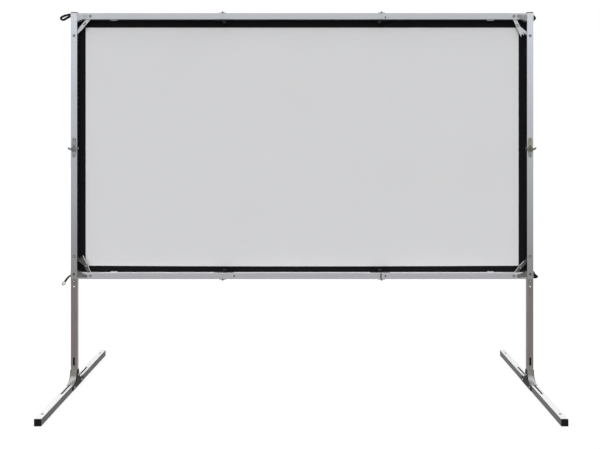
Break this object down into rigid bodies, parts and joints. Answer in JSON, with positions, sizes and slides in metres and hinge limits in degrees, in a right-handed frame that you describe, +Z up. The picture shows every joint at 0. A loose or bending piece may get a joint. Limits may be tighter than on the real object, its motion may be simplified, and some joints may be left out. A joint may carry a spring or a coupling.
{
  "type": "outdoor projection screen",
  "caption": "Free-standing folding projection screen: square tube frame with latched fold joints, knee braces, snapped-on bordered fabric and T legs with long feet.",
  "frame": {"origin": "on the ground, midway between the two feet, at the middle of the frame tubes' depth", "axes": "+X to the right seen from the audience, +Y away from the audience, +Z up"},
  "size_m": [2.432, 1.357, 1.9083],
  "materials": {
    "aluminium": "satin anodised",
    "zinc": "satin casting",
    "steel": "zinc plated",
    "white_fabric": "matt white",
    "black_fabric": "matt black",
    "webbing": "woven black",
    "black_plastic": "moulded"
  },
  "bodies": {
    "lower_left": {"lower_left_upright": "aluminium", "lower_left_corner": "zinc", "bottom_left_guy_strap": "webbing", "screen_panel_lower": "white_fabric", "screen_border_lower": "black_fabric", "left_fold_base": "zinc", "left_leg_spigot": "aluminium"},
    "lower_right": {"lower_right_upright": "aluminium", "lower_right_corner": "zinc", "bottom_right_guy_strap": "webbing", "right_fold_base": "zinc", "right_leg_spigot": "aluminium"},
    "upper_left": {"upper_left_upright": "aluminium", "upper_left_corner": "zinc", "top_left_guy_strap": "webbing", "screen_panel_upper": "white_fabric", "screen_border_upper": "black_fabric", "left_fold_keeper": "zinc"},
    "upper_right": {"upper_right_upright": "aluminium", "upper_right_corner": "zinc", "top_right_guy_strap": "webbing", "right_fold_keeper": "zinc"},
    "left_latch": {"left_latch_wing": "steel"},
    "left_leg": {"left_leg_post": "aluminium", "left_leg_foot": "aluminium", "left_foot_caps": "black_plastic", "left_leg_fittings": "steel"},
    "left_thumb_nut": {"left_leg_nut": "steel"},
    "right_latch": {"right_latch_wing": "steel"},
    "right_leg": {"right_leg_post": "aluminium", "right_leg_foot": "aluminium", "right_foot_caps": "black_plastic", "right_leg_fittings": "steel"},
    "right_thumb_nut": {"right_leg_nut": "steel"},
    "bottom_middle": {"bottom_middle_bar": "aluminium", "bottom_left_fold_base": "zinc", "bottom_right_fold_base": "zinc"},
    "bottom_left": {"bottom_left_bar": "aluminium", "bottom_left_fold_keeper": "zinc"},
    "bottom_left_latch": {"bottom_left_latch_wing": "steel"},
    "bottom_left_brace_channel": {"bottom_left_bar_link": "steel"},
    "bottom_left_brace_flat": {"bottom_left_upright_link": "steel"},
    "bottom_right": {"bottom_right_bar": "aluminium", "bottom_right_fold_keeper": "zinc"},
    "bottom_right_latch": {"bottom_right_latch_wing": "steel"},
    "bottom_right_brace_channel": {"bottom_right_bar_link": "steel"},
    "bottom_right_brace_flat": {"bottom_right_upright_link": "steel"},
    "top_middle": {"top_middle_bar": "aluminium", "top_left_fold_base": "zinc", "top_right_fold_base": "zinc"},
    "top_left": {"top_left_bar": "aluminium", "top_left_fold_keeper": "zinc"},
    "top_left_latch": {"top_left_latch_wing": "steel"},
    "top_left_brace_channel": {"top_left_bar_link": "steel"},
    "top_left_brace_flat": {"top_left_upright_link": "steel"},
    "top_right": {"top_right_bar": "aluminium", "top_right_fold_keeper": "zinc"},
    "top_right_latch": {"top_right_latch_wing": "steel"},
    "top_right_brace_channel": {"top_right_bar_link": "steel"},
    "top_right_brace_flat": {"top_right_upright_link": "steel"}
  },
  "joints": [
    {"name": "frame_fold", "type": "hinge", "parent": "lower_left", "child": "upper_left", "pos_m": [-1.159, 0.021, 1.2235], "axis": [-1, 0, 0], "range_deg": [0, 180]},
    {"name": "collapse", "type": "hinge", "parent": "lower_left", "child": "bottom_left", "pos_m": [-1.0983, 0, 0.5635], "axis": [0, -1, 0], "range_deg": [0, 55], "deforming": ["screen_panel_lower", "screen_border_lower", "screen_panel_upper", "screen_border_upper"]},
    {"name": "bottom_left_fold", "type": "hinge", "parent": "bottom_left", "child": "bottom_middle", "pos_m": [-0.404, 0, 0.5429], "axis": [0, 1, 0], "range_deg": [0, 55]},
    {"name": "bottom_right_fold", "type": "hinge", "parent": "bottom_middle", "child": "bottom_right", "pos_m": [0.404, 0, 0.5429], "axis": [0, 1, 0], "range_deg": [0, 55]},
    {"name": "bottom_right_pivot", "type": "hinge", "parent": "bottom_right", "child": "lower_right", "pos_m": [1.0983, 0, 0.5635], "axis": [0, -1, 0], "range_deg": [0, 55]},
    {"name": "top_left_pivot", "type": "hinge", "parent": "upper_left", "child": "top_left", "pos_m": [-1.0983, 0, 1.8835], "axis": [0, 1, 0], "range_deg": [0, 55]},
    {"name": "top_left_fold", "type": "hinge", "parent": "top_left", "child": "top_middle", "pos_m": [-0.404, 0, 1.9041], "axis": [0, -1, 0], "range_deg": [0, 55]},
    {"name": "top_right_fold", "type": "hinge", "parent": "top_middle", "child": "top_right", "pos_m": [0.404, 0, 1.9041], "axis": [0, -1, 0], "range_deg": [0, 55]},
    {"name": "top_right_pivot", "type": "hinge", "parent": "top_right", "child": "upper_right", "pos_m": [1.0983, 0, 1.8835], "axis": [0, 1, 0], "range_deg": [0, 55]},
    {"name": "bottom_left_channel_turn", "type": "hinge", "parent": "bottom_left", "child": "bottom_left_brace_channel", "pos_m": [-1.0763, 0, 0.5635], "axis": [0, -1, 0], "range_deg": [-79.09, 0]},
    {"name": "bottom_left_flat_turn", "type": "hinge", "parent": "lower_left", "child": "bottom_left_brace_flat", "pos_m": [-1.159, 0, 0.6625], "axis": [0, -1, 0], "range_deg": [0, 20.2]},
    {"name": "bottom_left_latch_turn", "type": "hinge", "parent": "bottom_middle", "child": "bottom_left_latch", "pos_m": [-0.394, 0, 0.5895], "axis": [0, 0, 1], "range_deg": [0, 180]},
    {"name": "bottom_right_channel_turn", "type": "hinge", "parent": "bottom_right", "child": "bottom_right_brace_channel", "pos_m": [1.0763, 0, 0.5635], "axis": [0, 1, 0], "range_deg": [-91.43, 0]},
    {"name": "bottom_right_flat_turn", "type": "hinge", "parent": "lower_right", "child": "bottom_right_brace_flat", "pos_m": [1.159, 0, 0.6625], "axis": [0, 1, 0], "range_deg": [0, 28.87]},
    {"name": "bottom_right_latch_turn", "type": "hinge", "parent": "bottom_middle", "child": "bottom_right_latch", "pos_m": [0.394, 0, 0.5895], "axis": [0, 0, 1], "range_deg": [0, 180]},
    {"name": "top_left_channel_turn", "type": "hinge", "parent": "top_left", "child": "top_left_brace_channel", "pos_m": [-1.0763, 0, 1.8835], "axis": [0, 1, 0], "range_deg": [-91.43, 0]},
    {"name": "top_left_flat_turn", "type": "hinge", "parent": "upper_left", "child": "top_left_brace_flat", "pos_m": [-1.159, 0, 1.7845], "axis": [0, 1, 0], "range_deg": [0, 28.87]},
    {"name": "top_left_latch_turn", "type": "hinge", "parent": "top_middle", "child": "top_left_latch", "pos_m": [-0.394, 0, 1.8575], "axis": [0, 0, 1], "range_deg": [0, 180]},
    {"name": "top_right_channel_turn", "type": "hinge", "parent": "top_right", "child": "top_right_brace_channel", "pos_m": [1.0763, 0, 1.8835], "axis": [0, -1, 0], "range_deg": [-79.09, 0]},
    {"name": "top_right_flat_turn", "type": "hinge", "parent": "upper_right", "child": "top_right_brace_flat", "pos_m": [1.159, 0, 1.7845], "axis": [0, -1, 0], "range_deg": [0, 20.2]},
    {"name": "top_right_latch_turn", "type": "hinge", "parent": "top_middle", "child": "top_right_latch", "pos_m": [0.394, 0, 1.8575], "axis": [0, 0, 1], "range_deg": [0, 180]},
    {"name": "left_latch_turn", "type": "hinge", "parent": "lower_left", "child": "left_latch", "pos_m": [-1.159, -0.026, 1.2035], "axis": [0, 1, 0], "range_deg": [0, 180]},
    {"name": "left_leg_height", "type": "slide", "parent": "lower_left", "child": "left_leg", "axis": [0, 0, -1], "range_m": [0, 0.028]},
    {"name": "left_nut_turn", "type": "hinge", "parent": "left_leg", "child": "left_thumb_nut", "pos_m": [-1.159, 0.019, 0.5375], "axis": [0, 1, 0], "continuous": true},
    {"name": "right_latch_turn", "type": "hinge", "parent": "lower_right", "child": "right_latch", "pos_m": [1.159, -0.026, 1.2035], "axis": [0, 1, 0], "range_deg": [0, 180]},
    {"name": "right_leg_height", "type": "slide", "parent": "lower_right", "child": "right_leg", "axis": [0, 0, -1], "range_m": [0, 0.028]},
    {"name": "right_nut_turn", "type": "hinge", "parent": "right_leg", "child": "right_thumb_nut", "pos_m": [1.159, 0.019, 0.5375], "axis": [0, 1, 0], "continuous": true}
  ],
  "couplings": [
    {"joint": "bottom_left_fold", "follows": "collapse", "ratio": 1},
    {"joint": "bottom_right_fold", "follows": "collapse", "ratio": 1},
    {"joint": "bottom_right_pivot", "follows": "collapse", "ratio": 1},
    {"joint": "top_left_pivot", "follows": "collapse", "ratio": 1},
    {"joint": "top_left_fold", "follows": "collapse", "ratio": 1},
    {"joint": "top_right_fold", "follows": "collapse", "ratio": 1},
    {"joint": "top_right_pivot", "follows": "collapse", "ratio": 1},
    {"joint": "bottom_left_channel_turn", "follows": "collapse", "ratio": -1.4379},
    {"joint": "bottom_left_flat_turn", "follows": "collapse", "ratio": 0.36701},
    {"joint": "bottom_right_channel_turn", "follows": "collapse", "ratio": -1.6622},
    {"joint": "bottom_right_flat_turn", "follows": "collapse", "ratio": 0.52469},
    {"joint": "top_left_channel_turn", "follows": "collapse", "ratio": -1.6622},
    {"joint": "top_left_flat_turn", "follows": "collapse", "ratio": 0.52469},
    {"joint": "top_right_channel_turn", "follows": "collapse", "ratio": -1.4379},
    {"joint": "top_right_flat_turn", "follows": "collapse", "ratio": 0.36701}
  ]
}
